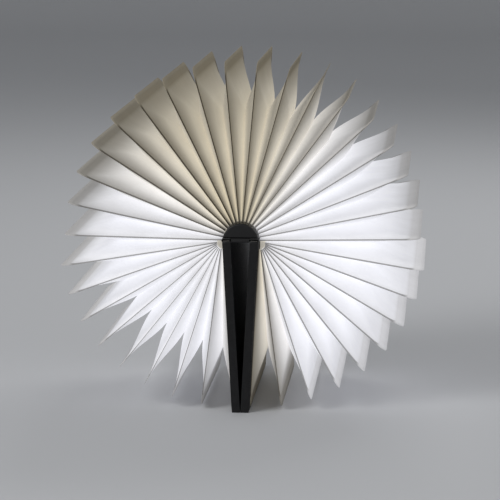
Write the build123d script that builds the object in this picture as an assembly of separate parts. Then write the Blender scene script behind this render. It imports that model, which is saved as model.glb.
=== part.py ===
from build123d import *
import math
import os

# A folding book lamp: a small hardcover book whose leaves are a paper bellows round a light bar.
# It stands as in use, opened right round: both covers hang back to back from the spine and stand
# on their fore-edges, and the leaves fan out round the light bar. Millimetres and degrees.
# Origin: on the table, under the middle of the spine. +Z up, +Y along the spine, +X to the right.

# Covers
COVER_LENGTH = 122.0        # along the spine
COVER_THICKNESS = 4.6       # board with its wrap and lining
FOOT_GAP = 0.2              # between the two covers where they stand
PIVOT_HEIGHT = 95.0         # hinge lines above the table
PIVOT_SPREAD = 20.4         # from one hinge line to the other
PIVOT_TO_LINING = 0.3       # the lining lies this far inside the hinge line
HINGE_EDGE_GAP = 0.7        # from the hinge line to the cover's edge
COVER_CORNER = 2.0          # radius of the cover's corners in plan
WRAP_THICKNESS = 0.5
LINING_THICKNESS = 0.25
LINING_MARGIN = 1.5         # bare border round the lining
TURN_IN = 12.0              # how far the wrap folds over the inside of the board
TURN_IN_THICKNESS = 0.4
BOARD_CLEARANCE = 0.05

# Magnets
MAGNET_DIAMETER = 8.0
MAGNET_THICKNESS = 2.0
MAGNET_SPACING = 44.0
MAGNET_COUNT = 3
MAGNET_INSET = 12.0         # from the table edge of the cover to the magnets' centres
MAGNET_CLEARANCE = 0.1
SWITCH_MAGNET_DIAMETER = 5.0
SWITCH_MAGNET_THICKNESS = 1.5
SWITCH_MAGNET_REACH = 9.0   # from the hinge line

# Spine and cloth hinges
SPINE_SIDE_CLEARANCE = 0.45  # from the spine board's side to a cover's outer face
SPINE_BOARD_THICKNESS = 1.5
SPINE_SKIN_THICKNESS = 0.5
HINGE_CLOTH_THICKNESS = 0.3

# Light bar
BAR_RADIUS = 9.6
BAR_WALL = 1.1
BAR_LENGTH = 120.0
BAR_FLOOR = 1.0
BAR_SPLIT = 4.8             # from the bar's foot up to the joint of housing and lens
BAR_SEAT = 0.05             # the bar's foot above the spine board
CAP_THICKNESS = 2.5
CAP_SPIGOT = 3.0
CAP_SPIGOT_CLEARANCE = 0.15
CAP_EDGE = 0.8              # fillet round the outer face of a cap
LENS_LIP = 0.6              # the lens's feet reach this far down inside the housing
LEDGE_WIDTH = 0.7

# Electronics
LED_BOARD_WIDTH = 10.6
LED_BOARD_THICKNESS = 0.8
LED_BOARD_END_GAP = 2.5     # from the board's end to a cap
LED_COUNT = 12
LED_END_MARGIN = 6.6        # from the board's end to the first LED's middle
LED_LENGTH = 3.5
LED_WIDTH = 2.8
LED_HEIGHT = 0.7
CELL_WIDTH = 9.0
CELL_LENGTH = 62.0
CELL_THICKNESS = 2.4
CELL_Y = -18.0
CELL_EDGE = 1.0
CHARGE_BOARD_WIDTH = 9.0
CHARGE_BOARD_LENGTH = 20.0
CHARGE_BOARD_THICKNESS = 0.8
USB_WIDTH = 7.6
USB_HEIGHT = 1.9
USB_LENGTH = 6.0
USB_WALL = 0.3
USB_TONGUE = 0.5
USB_CLEARANCE = 0.15
USB_RECESS = 0.3            # the socket's mouth lies this far inside the cap's face
SWITCH_LENGTH = 4.0
SWITCH_WIDTH = 1.6
SWITCH_HEIGHT = 0.9
SWITCH_Y = 40.0
LEAD_DIAMETER = 0.8
LEAD_SPREAD = 5.0
INNER_SEAT = 0.05

# Paper leaves
LEAVES_PER_SIDE = 17
LEAVES_ON_BAR = 9           # leaves a side that spring from the light bar's arch
LEAF_LENGTH = 114.0         # along the spine
LEAF_SHY = 0.6              # the shut book's tallest leaves end this far inside its covers
LEAF_PLY = 0.25             # one sheet of paper
LEAF_SEAM = 5.0             # glued border along the fore-edge
LEAF_END_SEAM = 2.5         # glued border along head and tail
LEAF_CORNER = 7.0
LEAF_FOLD = 26.0            # free sheet between the glued border and the valley fold
LEAF_GAP = 0.12             # half the gap between neighbours at a valley
LEAF_LAP = 0.8              # the border runs on under the sheets by this
FAN_DROP = 2.4              # the fan's middle lies this far below the hinge lines
ROOT_GAP = 1.0              # between the arch and the leaves' roots
SIDE_ROOT = 3.6             # root of the first leaf that springs from the hinge line
SIDE_ROOT_STEP = 0.32       # each lower leaf's root lies this much further out
ROOT_LIFT = 0.05            # least rise of a sheet at its root

# Worked out from the sizes above
PIVOT_X = PIVOT_SPREAD / 2
LINING_X = PIVOT_X - PIVOT_TO_LINING
LEAN = math.degrees(math.atan2(LINING_X - COVER_THICKNESS - FOOT_GAP / 2, PIVOT_HEIGHT))
COVER_REACH = PIVOT_HEIGHT / math.cos(math.radians(LEAN))
LEAF_STEP = (180 + LEAN) / (LEAVES_PER_SIDE + 0.5)
HALF_STEP = LEAF_STEP / 2
SIDE_START = LEAVES_ON_BAR * LEAF_STEP - 90
FAN_Z = PIVOT_HEIGHT - FAN_DROP
BAR_CENTRE_Z = FAN_Z + PIVOT_X * math.tan(math.radians(SIDE_START)) + LEAF_GAP
LEAF_WIDTH = PIVOT_HEIGHT + COVER_REACH - LEAF_SHY - BAR_CENTRE_Z - BAR_RADIUS - ROOT_GAP
SPINE_TOP_Z = PIVOT_HEIGHT + HINGE_CLOTH_THICKNESS / 2
SPINE_BOARD_Z = SPINE_TOP_Z - SPINE_BOARD_THICKNESS
SPINE_HALF = LINING_X - COVER_THICKNESS - SPINE_SIDE_CLEARANCE
BAR_FOOT_Z = SPINE_TOP_Z + BAR_SEAT
BAR_SPLIT_Z = BAR_FOOT_Z + BAR_SPLIT
BAR_INSIDE = BAR_RADIUS - BAR_WALL
LED_BOARD_Z = BAR_SPLIT_Z - LED_BOARD_THICKNESS - INNER_SEAT
CELL_Z = BAR_FOOT_Z + BAR_FLOOR + INNER_SEAT
BOARD_Z = LINING_THICKNESS + TURN_IN_THICKNESS
BIG = 300.0

LEFT, RIGHT = -1, 1
SIDES = {"front": LEFT, "back": RIGHT}


def along_spine(profile, y_low, y_high):
    """A profile drawn in X and Z, drawn out along the spine from y_low to y_high."""
    plane = Plane(origin=(0, y_high, 0), x_dir=(1, 0, 0), z_dir=(0, -1, 0))
    return extrude(plane * profile, amount=y_high - y_low)


def block(x_low, x_high, y_low, y_high, z_low, z_high):
    """A box from its lowest to its highest corner."""
    size = (x_high - x_low, y_high - y_low, z_high - z_low)
    return Pos(x_low, y_low, z_low) * Box(*size, align=(Align.MIN, Align.MIN, Align.MIN))


def plate(x_low, x_high, z_low, z_high):
    """A rectangle in a profile's plane."""
    corner = Pos(x_low, z_low)
    return corner * Rectangle(x_high - x_low, z_high - z_low, align=(Align.MIN, Align.MIN))


def solid_from(polygons):
    """A solid bounded by flat polygons, each a list of corner points."""
    faces = [Face(Wire.make_polygon([Vector(*p) for p in polygon])) for polygon in polygons]
    solid = Solid(Shell(faces))
    return solid if solid.volume > 0 else Solid(solid.wrapped.Reversed())


def fan_plane(side, angle, pivot):
    """The plane of a leaf or cover: its x runs out from the pivot, at an angle from straight up."""
    turn = math.radians(angle)
    out = Vector(side * math.sin(turn), 0, math.cos(turn))
    return Plane(origin=(pivot[0], 0, pivot[1]), x_dir=out, z_dir=(-out.Z, 0, out.X))


def cover_plane(side):
    """The lining's plane of a cover as it stands, with z towards the cover's outer face."""
    lean = math.radians(LEAN)
    out = Vector(-side * math.sin(lean), 0, -math.cos(lean))
    inward = Vector(-side * math.cos(lean), 0, math.sin(lean))
    origin = Vector(side * PIVOT_X, 0, PIVOT_HEIGHT) + inward * PIVOT_TO_LINING
    return Plane(origin=origin, x_dir=out, z_dir=inward)


def above_table(shape):
    """What stands above the table: a cover's fore-edge is cut level to stand on."""
    return shape - block(-BIG, BIG, -BIG, BIG, -BIG, 0)


# Leaves

def folded_sheet(root, reach, ply_up, lift=0.0):
    """One sheet of a leaf: head, fore-edge and tail bands that rise from the glued border to the
    valley fold, as flat facets. A lift moves the valley further from the leaf's plane."""
    slope = math.tan(math.radians(HALF_STEP))
    lift -= LEAF_GAP + ply_up
    edge_x = reach - LEAF_SEAM
    edge_y = LEAF_LENGTH / 2 - LEAF_END_SEAM
    valley_x = edge_x - LEAF_FOLD
    for _ in range(20):
        rise = valley_x * slope + lift
        valley_x = edge_x - math.sqrt(LEAF_FOLD ** 2 - rise ** 2)
    valley_in = math.sqrt(LEAF_FOLD ** 2 - rise ** 2)
    root_rise = max(root * slope + lift, ROOT_LIFT)
    root_in = valley_in * root_rise / rise

    def ring(drop):
        """Corners from the root at the head, round the leaf, to the root at the tail."""
        outer, inner = [], []
        for hand in (1, -1):
            outer.append((root, hand * edge_y, ply_up - drop))
            outer.append((edge_x, hand * edge_y, ply_up - drop))
            inner.append((root, hand * (edge_y - root_in), ply_up + root_rise - drop))
            inner.append((valley_x, hand * (edge_y - valley_in), ply_up + rise - drop))
        return [outer[0], outer[1], outer[3], outer[2]], [inner[0], inner[1], inner[3], inner[2]]

    top_out, top_in = ring(0)
    low_out, low_in = ring(LEAF_PLY)
    polygons = []
    for n in range(3):
        polygons.append([top_out[n], top_out[n + 1], top_in[n + 1], top_in[n]])
        polygons.append([low_out[n], low_out[n + 1], low_in[n + 1], low_in[n]])
        polygons.append([top_out[n], top_out[n + 1], low_out[n + 1], low_out[n]])
        polygons.append([top_in[n], top_in[n + 1], low_in[n + 1], low_in[n]])
    for n in (0, 3):
        polygons.append([top_out[n], low_out[n], low_in[n], top_in[n]])
    return solid_from(polygons)


def glued_border(root, reach, z_low, z_high):
    """The U-shaped border where a leaf's sheets are glued, with its rounded outer corners."""
    far = reach - LEAF_SEAM - LEAF_LAP
    inside = LEAF_LENGTH - 2 * (LEAF_END_SEAM + LEAF_LAP)
    outline = Pos(root, 0) * Rectangle(reach - root, LEAF_LENGTH, align=(Align.MIN, Align.CENTER))
    outline = fillet(outline.vertices().group_by(Axis.X)[-1], LEAF_CORNER)
    hole = Pos(root - 1, 0) * Rectangle(far - root + 1, inside, align=(Align.MIN, Align.CENTER))
    return extrude(Plane.XY.offset(z_low) * (outline - hole), amount=z_high - z_low)


def leaf(root, reach):
    """A leaf: two sheets glued along head, fore-edge and tail, open towards the light."""
    sheet = folded_sheet(root, reach, LEAF_PLY)
    border = glued_border(root, reach, -LEAF_PLY, LEAF_PLY)
    return border + sheet + mirror(sheet, about=Plane.XY)


def end_leaf(root, reach):
    """The last half leaf: one sheet that joins the fan's last valley to the cover's lining."""
    lining_offset = PIVOT_TO_LINING + FAN_DROP * math.sin(math.radians(LEAN))
    sheet = folded_sheet(root, reach, LEAF_PLY, lining_offset)
    return glued_border(root, reach, 0, LEAF_PLY) + sheet


def leaf_places():
    """Number, angle from straight up, pivot in X and Z as for the right side, root and reach."""
    places = []
    for n in range(LEAVES_PER_SIDE):
        angle = (n + 0.5) * LEAF_STEP
        if n < LEAVES_ON_BAR:
            pivot = (0, BAR_CENTRE_Z)
            root = BAR_RADIUS + ROOT_GAP
        else:
            pivot = (PIVOT_X, FAN_Z)
            root = SIDE_ROOT + SIDE_ROOT_STEP * (n - LEAVES_ON_BAR)
        places.append((n + 1, angle, pivot, root, root + LEAF_WIDTH))
    return places


def leaves():
    made = {}
    for side, letter in ((LEFT, "l"), (RIGHT, "r")):
        for number, angle, pivot, root, reach in leaf_places():
            plane = fan_plane(side, angle, (side * pivot[0], pivot[1]))
            made[f"leaf_{letter}{number:02d}"] = plane * leaf(root, reach)
    return made


# Covers

def cover_parts(name, side):
    """Board, wrap, lining, magnets and end leaf of one cover, in its own plane and then placed."""
    plane = cover_plane(side)
    near = HINGE_EDGE_GAP
    far = COVER_REACH + COVER_THICKNESS
    half = COVER_LENGTH / 2

    def slab(margin, near_margin, z_low, z_high, corner):
        outline = Pos(near + near_margin, 0) * Rectangle(
            COVER_REACH - margin - near - near_margin,
            2 * (half - margin),
            align=(Align.MIN, Align.CENTER),
        )
        if corner > 0:
            outline = fillet(outline.vertices(), corner)
        return extrude(Plane.XY.offset(z_low) * outline, amount=z_high - z_low)

    body = Pos(near, 0) * Rectangle(far - near, 2 * half, align=(Align.MIN, Align.CENTER))
    body = fillet(body.vertices().group_by(Axis.X)[0], COVER_CORNER)
    body = extrude(Plane.XY.offset(LINING_THICKNESS) * body, amount=COVER_THICKNESS - LINING_THICKNESS)
    board_top = COVER_THICKNESS - WRAP_THICKNESS
    cavity = slab(WRAP_THICKNESS, WRAP_THICKNESS, BOARD_Z, board_top, 0)
    window = slab(TURN_IN, TURN_IN, LINING_THICKNESS, BOARD_Z, 0)
    wrap = body - cavity - window

    margin = WRAP_THICKNESS + BOARD_CLEARANCE
    board = slab(margin, margin, BOARD_Z + BOARD_CLEARANCE, board_top - BOARD_CLEARANCE, 0)
    magnet_z = board_top - BOARD_CLEARANCE - MAGNET_THICKNESS
    first = -MAGNET_SPACING * (MAGNET_COUNT - 1) / 2
    spots = [(COVER_REACH - MAGNET_INSET, first + MAGNET_SPACING * n) for n in range(MAGNET_COUNT)]
    disc = Cylinder(MAGNET_DIAMETER / 2, MAGNET_THICKNESS, align=(Align.CENTER, Align.CENTER, Align.MIN))
    pocket = Cylinder(
        MAGNET_DIAMETER / 2 + MAGNET_CLEARANCE, BIG, align=(Align.CENTER, Align.CENTER, Align.MIN)
    )
    magnets = []
    for x, y in spots:
        board -= Pos(x, y, magnet_z - MAGNET_CLEARANCE) * pocket
        magnets.append(plane * (Pos(x, y, magnet_z) * disc))
    parts = {}
    if side == LEFT:
        small = Cylinder(
            SWITCH_MAGNET_DIAMETER / 2, SWITCH_MAGNET_THICKNESS, align=(Align.CENTER, Align.CENTER, Align.MIN)
        )
        small_z = BOARD_Z + BOARD_CLEARANCE
        place = Pos(SWITCH_MAGNET_REACH, SWITCH_Y, small_z)
        room = SWITCH_MAGNET_THICKNESS + 2 * MAGNET_CLEARANCE
        hole = Cylinder(
            SWITCH_MAGNET_DIAMETER / 2 + MAGNET_CLEARANCE, room, align=(Align.CENTER, Align.CENTER, Align.MIN)
        )
        board -= Pos(SWITCH_MAGNET_REACH, SWITCH_Y, small_z - MAGNET_CLEARANCE) * hole
        parts["switch_magnet"] = plane * (place * small)

    lining = slab(LINING_MARGIN, LINING_MARGIN / 3, 0, LINING_THICKNESS, 0)
    root, reach = leaf_places()[-1][-2:]
    last = end_leaf(root, reach)
    foot = plane.origin + plane.x_dir * FAN_DROP
    leaf_plane = Plane(origin=foot, x_dir=plane.x_dir, z_dir=-plane.z_dir)
    parts[f"{name}_cover_wrap"] = above_table(plane * wrap)
    parts[f"{name}_cover_board"] = plane * board
    parts[f"{name}_lining"] = plane * lining
    parts[f"{name}_magnets"] = Compound(children=magnets)
    parts[f"{name}_end_leaf"] = leaf_plane * last
    return parts


# Spine and light bar

def spine_parts():
    """The stiff spine between the covers' edges, its skin, and the cloth out to each hinge line."""
    half = COVER_LENGTH / 2
    skin = plate(-SPINE_HALF, SPINE_HALF, SPINE_BOARD_Z - SPINE_SKIN_THICKNESS, SPINE_BOARD_Z)
    board = plate(-SPINE_HALF, SPINE_HALF, SPINE_BOARD_Z, SPINE_TOP_Z)
    parts = {
        "spine_skin": along_spine(skin, -half, half),
        "spine_board": along_spine(board, -half, half),
    }
    for name, side in SIDES.items():
        x_low, x_high = sorted((side * SPINE_HALF, side * PIVOT_X))
        strip = plate(x_low, x_high, SPINE_TOP_Z - HINGE_CLOTH_THICKNESS, SPINE_TOP_Z)
        strip += Pos(side * PIVOT_X, PIVOT_HEIGHT) * Circle(HINGE_CLOTH_THICKNESS / 2)
        parts[f"{name}_hinge_cloth"] = along_spine(strip, -half, half)
    return parts


def bar_section(radius, z_low, z_high):
    """The part of the arch's disc between two levels."""
    return Pos(0, BAR_CENTRE_Z) * Circle(radius) & plate(-BIG, BIG, z_low, z_high)


def light_bar_parts():
    half = BAR_LENGTH / 2
    inner_half = half - CAP_THICKNESS
    full = bar_section(BAR_RADIUS, BAR_FOOT_Z, BIG)
    housing = bar_section(BAR_RADIUS, BAR_FOOT_Z, BAR_SPLIT_Z)
    housing -= bar_section(BAR_INSIDE, BAR_FOOT_Z + BAR_FLOOR, BIG)
    ledge_z = LED_BOARD_Z - INNER_SEAT
    ledge_x = LED_BOARD_WIDTH / 2 - LEDGE_WIDTH
    for side in (LEFT, RIGHT):
        x_low, x_high = sorted((side * ledge_x, side * BAR_INSIDE))
        ledge = plate(x_low, x_high, BAR_FOOT_Z + BAR_FLOOR, ledge_z)
        housing += ledge & bar_section(BAR_RADIUS - BAR_WALL / 2, BAR_FOOT_Z, BAR_SPLIT_Z)
    lens = bar_section(BAR_RADIUS, BAR_SPLIT_Z, BIG) - bar_section(BAR_INSIDE, BAR_FOOT_Z, BIG)

    spigot = bar_section(BAR_INSIDE - CAP_SPIGOT_CLEARANCE, BAR_SPLIT_Z + INNER_SEAT, BIG)
    caps = {}
    for name, side in (("head", LEFT), ("tail", RIGHT)):
        y_low, y_high = sorted((side * half, side * inner_half))
        cap = along_spine(full, y_low, y_high)
        rim = cap.faces().sort_by(Axis.Y)[0 if side == LEFT else -1].edges()
        cap = fillet(rim, CAP_EDGE)
        y_low, y_high = sorted((side * inner_half, side * (inner_half - CAP_SPIGOT)))
        caps[name] = cap + along_spine(spigot, y_low, y_high)

    charge_z = CELL_Z
    usb_z = charge_z + CHARGE_BOARD_THICKNESS
    mouth = half - USB_RECESS
    slot_half = USB_WIDTH / 2 + USB_CLEARANCE
    caps["tail"] -= block(
        -slot_half, slot_half, inner_half - 1, half + 1, usb_z - USB_CLEARANCE, usb_z + USB_HEIGHT + USB_CLEARANCE
    )
    shell = block(-USB_WIDTH / 2, USB_WIDTH / 2, mouth - USB_LENGTH, mouth, usb_z, usb_z + USB_HEIGHT)
    shell = fillet(shell.edges().filter_by(Axis.Y), USB_HEIGHT / 4)
    shell -= block(
        -USB_WIDTH / 2 + USB_WALL,
        USB_WIDTH / 2 - USB_WALL,
        mouth - USB_LENGTH + USB_WALL,
        mouth + 1,
        usb_z + USB_WALL,
        usb_z + USB_HEIGHT - USB_WALL,
    )
    tongue_z = usb_z + USB_WALL
    tongue = block(
        -USB_WIDTH / 4, USB_WIDTH / 4, mouth - USB_LENGTH + USB_WALL, mouth - 1, tongue_z, tongue_z + USB_TONGUE
    )
    board_half = inner_half - LED_BOARD_END_GAP
    led_z = LED_BOARD_Z + LED_BOARD_THICKNESS
    led = Box(LED_WIDTH, LED_LENGTH, LED_HEIGHT, align=(Align.CENTER, Align.CENTER, Align.MIN))
    first = LED_END_MARGIN - board_half
    pitch = -2 * first / (LED_COUNT - 1)
    cell = block(
        -CELL_WIDTH / 2,
        CELL_WIDTH / 2,
        CELL_Y - CELL_LENGTH / 2,
        CELL_Y + CELL_LENGTH / 2,
        CELL_Z,
        CELL_Z + CELL_THICKNESS,
    )
    charge_end = mouth - USB_LENGTH / 2
    lead_start = CELL_Y + CELL_LENGTH / 2
    lead_end = charge_end - CHARGE_BOARD_LENGTH
    lead_z = CELL_Z + LEAD_DIAMETER / 2
    leads = [
        Pos(x, lead_start, lead_z)
        * Rot(X=-90)
        * Cylinder(
            LEAD_DIAMETER / 2, lead_end - lead_start, align=(Align.CENTER, Align.CENTER, Align.MIN)
        )
        for x in (-LEAD_SPREAD / 2, LEAD_SPREAD / 2)
    ]
    return {
        "bar_housing": along_spine(housing, -inner_half, inner_half),
        "lens_diffuser": along_spine(lens, -inner_half, inner_half),
        "head_cap": caps["head"],
        "tail_cap": caps["tail"],
        "led_board": block(
            -LED_BOARD_WIDTH / 2, LED_BOARD_WIDTH / 2, -board_half, board_half, LED_BOARD_Z, led_z
        ),
        "leds": Compound(
            children=[Pos(0, first + pitch * n, led_z) * led for n in range(LED_COUNT)]
        ),
        "battery_cell": fillet(cell.edges().filter_by(Axis.Y), CELL_EDGE),
        "battery_leads": Compound(children=leads),
        "charge_board": block(
            -CHARGE_BOARD_WIDTH / 2,
            CHARGE_BOARD_WIDTH / 2,
            lead_end,
            charge_end,
            charge_z,
            charge_z + CHARGE_BOARD_THICKNESS,
        ),
        "usb_socket": shell + tongue,
        "reed_switch": block(
            -ledge_x + INNER_SEAT,
            -ledge_x + INNER_SEAT + SWITCH_WIDTH,
            SWITCH_Y - SWITCH_LENGTH / 2,
            SWITCH_Y + SWITCH_LENGTH / 2,
            LED_BOARD_Z - SWITCH_HEIGHT,
            LED_BOARD_Z,
        ),
    }


def main():
    nodes = {}
    nodes.update(spine_parts())
    nodes.update(light_bar_parts())
    for name, side in SIDES.items():
        nodes.update(cover_parts(name, side))
    nodes.update(leaves())
    os.makedirs("parts", exist_ok=True)
    for name, shape in nodes.items():
        shape.label = name
        export_step(shape, f"parts/{name}.step")
    print(f"{len(nodes)} nodes, lean {LEAN:.3f} degrees, bar centre at z {BAR_CENTRE_Z:.3f}")


main()
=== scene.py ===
# %% [markdown]
# # A book lamp in Blender
# The lamp is a small hardcover book that opens right round. Its covers hang back to back and the
# lamp stands on their edges, while thirty-four paper leaves fan out round a bar of LEDs.
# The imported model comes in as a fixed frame: it says where every piece is and how it moves.
# This script gives each piece its real surface, and replaces the plain leaves, covers and cloth
# hinges with finer ones in the same places.

import math

import bmesh
import bpy
from mathutils import Matrix, Vector


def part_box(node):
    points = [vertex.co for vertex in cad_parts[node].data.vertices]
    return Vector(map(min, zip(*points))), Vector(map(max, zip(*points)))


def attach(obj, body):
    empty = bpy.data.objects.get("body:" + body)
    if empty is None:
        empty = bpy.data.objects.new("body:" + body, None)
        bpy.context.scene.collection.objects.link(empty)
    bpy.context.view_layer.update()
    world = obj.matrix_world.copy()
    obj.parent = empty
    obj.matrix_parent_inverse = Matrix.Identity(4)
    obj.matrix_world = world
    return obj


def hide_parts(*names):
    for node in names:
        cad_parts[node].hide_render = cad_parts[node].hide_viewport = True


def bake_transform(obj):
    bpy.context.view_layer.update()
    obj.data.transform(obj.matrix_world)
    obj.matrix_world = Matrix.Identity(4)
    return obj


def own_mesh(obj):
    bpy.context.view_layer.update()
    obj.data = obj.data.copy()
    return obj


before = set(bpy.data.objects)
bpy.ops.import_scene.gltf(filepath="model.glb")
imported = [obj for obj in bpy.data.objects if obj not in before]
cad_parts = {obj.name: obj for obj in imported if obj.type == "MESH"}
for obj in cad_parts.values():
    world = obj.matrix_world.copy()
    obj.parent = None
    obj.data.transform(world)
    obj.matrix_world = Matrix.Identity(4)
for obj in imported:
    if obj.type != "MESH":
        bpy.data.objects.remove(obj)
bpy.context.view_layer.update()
MM = 0.001

# %% [markdown]
# ## Sizes
# These are the real sizes of the lamp in millimetres. The leaves turn about the light bar's middle
# on the upper half of the fan, and about a line just below each hinge line on the lower half.
# Everything else is worked out from them, so that the fan closes up exactly at the covers.

# %% Sizes of the lamp
PIVOT_X = 10.2  # each hinge line stands this far from the middle
PIVOT_Z = 95.0  # and this high above the table
COVER_THICKNESS = 4.6
COVER_GAP = 0.1  # left between the covers where they stand back to back
LINING_INSET = 0.3  # from the hinge line to the lining's face
LEAVES = 17  # on each side
LEAVES_ON_BAR = 9  # of them, which turn about the bar
FAN_DROP = 2.4  # the other leaves turn this far below the hinge lines
ROOT_ON_BAR = 10.6  # from the bar's middle to the upper leaves' roots
VALLEY_GAP = 0.12  # room between neighbouring leaves
LEAF_SHY = 0.6  # the leaves end this far above the table
COVERS = {"front": -1, "back": 1}  # each cover and its side of the lamp

foot = PIVOT_X - LINING_INSET - COVER_THICKNESS - COVER_GAP
LEAN = math.degrees(math.atan2(foot, PIVOT_Z))
LEAF_STEP = (180 + LEAN) / (LEAVES + 0.5)
FAN_Z = PIVOT_Z - FAN_DROP
BAR_Z = FAN_Z + PIVOT_X * math.tan(math.radians(LEAVES_ON_BAR * LEAF_STEP - 90)) + VALLEY_GAP
COVER_REACH = PIVOT_Z / math.cos(math.radians(LEAN))
LEAF_WIDTH = PIVOT_Z + COVER_REACH - LEAF_SHY - BAR_Z - ROOT_ON_BAR
print("leaf step %.2f degrees, covers lean %.2f degrees" % (LEAF_STEP, LEAN))
print("leaf width %.1f mm, bar %.1f mm above the table" % (LEAF_WIDTH, BAR_Z))

# %% [markdown]
# ## Materials
# Each finish starts from what the real material is. Colours are written as sRGB hex values, as a
# colour picker shows them, and one function turns them to the linear values that a shader needs.
# A second function adds a node with its settings and links, so that each material reads as a list
# of nodes. A pattern's scale is 1000 divided by its size in millimetres, because Blender counts
# repeats in a metre. A Mix node keeps its colour sockets under numbers, which get names here.

# %% Colour and node helpers
COLOUR_A, COLOUR_B, COLOUR_OUT = 6, 7, 2


def linear(hex_colour):
    """An sRGB hex colour as linear red, green, blue and a full alpha."""
    channels = [int(hex_colour[n : n + 2], 16) / 255 for n in (1, 3, 5)]
    turned = [c / 12.92 if c <= 0.04045 else ((c + 0.055) / 1.055) ** 2.4 for c in channels]
    return (*turned, 1.0)


def add(tree, kind, settings=None, inputs=None):
    """A node of one kind, with its settings, and with values or links for its inputs.

    The setting "stops" gives a colour ramp its places and colours, and an input that gets a
    list is linked to each socket in it.
    """
    node = tree.nodes.new(kind)
    for name, value in (settings or {}).items():
        if name == "stops":
            for element, (place, colour) in zip(node.color_ramp.elements, value):
                element.position = place
                element.color = linear(colour)
        else:
            setattr(node, name, value)
    for name, value in (inputs or {}).items():
        for source in value if isinstance(value, list) else [value]:
            if isinstance(source, bpy.types.NodeSocket):
                tree.links.new(source, node.inputs[name])
            else:
                node.inputs[name].default_value = source
    return node


def new_material(name):
    """A material without nodes yet, and the tree to fill."""
    material = bpy.data.materials.new(name)
    material.use_nodes = True
    material.node_tree.nodes.clear()
    return material, material.node_tree


def surface(tree, inputs, height=None, depth_mm=0.0, strength=0.5):
    """The end of a material: its grain, where it has one of a real depth, and its surface."""
    if height is not None:
        grain = add(
            tree,
            "ShaderNodeBump",
            inputs={"Height": height, "Distance": depth_mm * MM, "Strength": strength},
        )
        inputs = {**inputs, "Normal": grain.outputs["Normal"]}
    skin = add(tree, "ShaderNodeBsdfPrincipled", inputs=inputs)
    add(tree, "ShaderNodeOutputMaterial", inputs={"Surface": skin.outputs["BSDF"]})


print("white is", linear("#FFFFFF"), "and mid grey", linear("#808080"))

# %% [markdown]
# ### Lit paper
# The leaves are uncoated white paper of about 120 g/m2, which lets the light of the bar through.
# A renderer can send light through thin sheets, but that is slow and noisy, and an exported model
# loses it. So the paper carries its own glow, and three values on the sheets' points steer it:
# - "fold" runs from -1 at the sheet's rim over 0 at the border's inner line to 1 at the valley.
#   In the border two sheets lie on each other, so it lets less light through and reads darker.
# - "out" runs from the root beside the bar to 1 at the fore-edge.
# - "light" says how much of the bar's light reaches the leaf. The bar shines sideways and down,
#   so the top leaves are dim and beige, and those from the side down are bright and white.
# The material reads as a few small tables. The first holds soft curves: each follows one of the
# values between two bounds, and gives one number at the first and another at the second.

# %% Curves of the paper's light
# name, the value it follows, its two bounds, and what it gives there
PAPER_CURVES = (
    ("near the root", "out", (0.12, 0.5), (0.5, 0.0)),
    ("warm leaf", "light", (0.0, 0.9), (0.9, 0.25)),
    ("bright leaf", "light", (0.1, 1.0), (0.0, 0.85)),
    ("on the fore-edge", "out", (0.915, 0.95), (0.0, 1.0)),
    ("past the border", "fold", (0.0, 0.02), (0.0, 1.0)),
    ("side glow", "light", (0.0, 1.0), (0.185, 0.427)),
    ("low glow", "light", (1.0, 1.4), (0.0, 0.035)),
    ("head border", "fold", (-0.05, 0.04), (0.35, 1.0)),
    ("across the border", "fold", (-1.0, 0.3), (0.0, 1.0)),
    ("tip", "light", (1.0, 1.4), (0.55, 0.85)),
    ("evenly lit leaf", "light", (0.2, 1.1), (0.0, 0.9)),
    ("into the valley", "fold", (0.0, 0.9), (0.2, 1.4)),
    ("dim leaf outwards", "out", (0.45, 1.0), (1.28, 0.6)),
    ("lit leaf outwards", "out", (0.1, 0.6), (0.97, 1.0)),
    ("outer part", "out", (0.74, 0.96), (0.0, 1.0)),
    ("by the border", "fold", (0.0, 0.5), (1.0, 0.0)),
    ("half lit leaf", "light", (0.2, 0.6), (0.0, 0.55)),
    ("not a low leaf", "light", (1.0, 1.4), (1.0, 0.1)),
)
print("curves", len(PAPER_CURVES))

# %% [markdown]
# The next tables work the curves up to the strength of the glow. Some are blended by a third, and
# then they are added and multiplied. The glow grows into the valleys. It is weaker in the border,
# in thicker places of the sheet, and in the outer corners of half lit leaves.

# %% Strength of the paper's glow
# name, the factor, and the two values that it blends
PAPER_BLENDS = (
    ("fore-edge border", "across the border", "tip", "full"),
    ("border", "on the fore-edge", "head border", "fore-edge border"),
    ("depth", "evenly lit leaf", "into the valley", "full"),
    ("fade", "light", "dim leaf outwards", "lit leaf outwards"),
)
# name, the operation, and the two values that it takes
PAPER_SUMS = (
    ("root warmth", "MULTIPLY", "near the root", "warm leaf"),
    ("corner", "MULTIPLY", "outer part", "by the border"),
    ("dull leaf", "MULTIPLY", "half lit leaf", "not a low leaf"),
    ("dulled", "MULTIPLY", "corner", "dull leaf"),
    ("not dulled", "SUBTRACT", "full", "dulled"),
    ("glow", "ADD", "side glow", "low glow"),
    ("bordered glow", "MULTIPLY", "glow", "border"),
    ("shaped", "MULTIPLY", "depth", "fade"),
    ("shaped glow", "MULTIPLY", "bordered glow", "shaped"),
    ("veiled", "MULTIPLY", "veil", "not dulled"),
    ("strength", "MULTIPLY", "shaped glow", "veiled"),
)
print("blends", len(PAPER_BLENDS), "sums and products", len(PAPER_SUMS))
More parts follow.
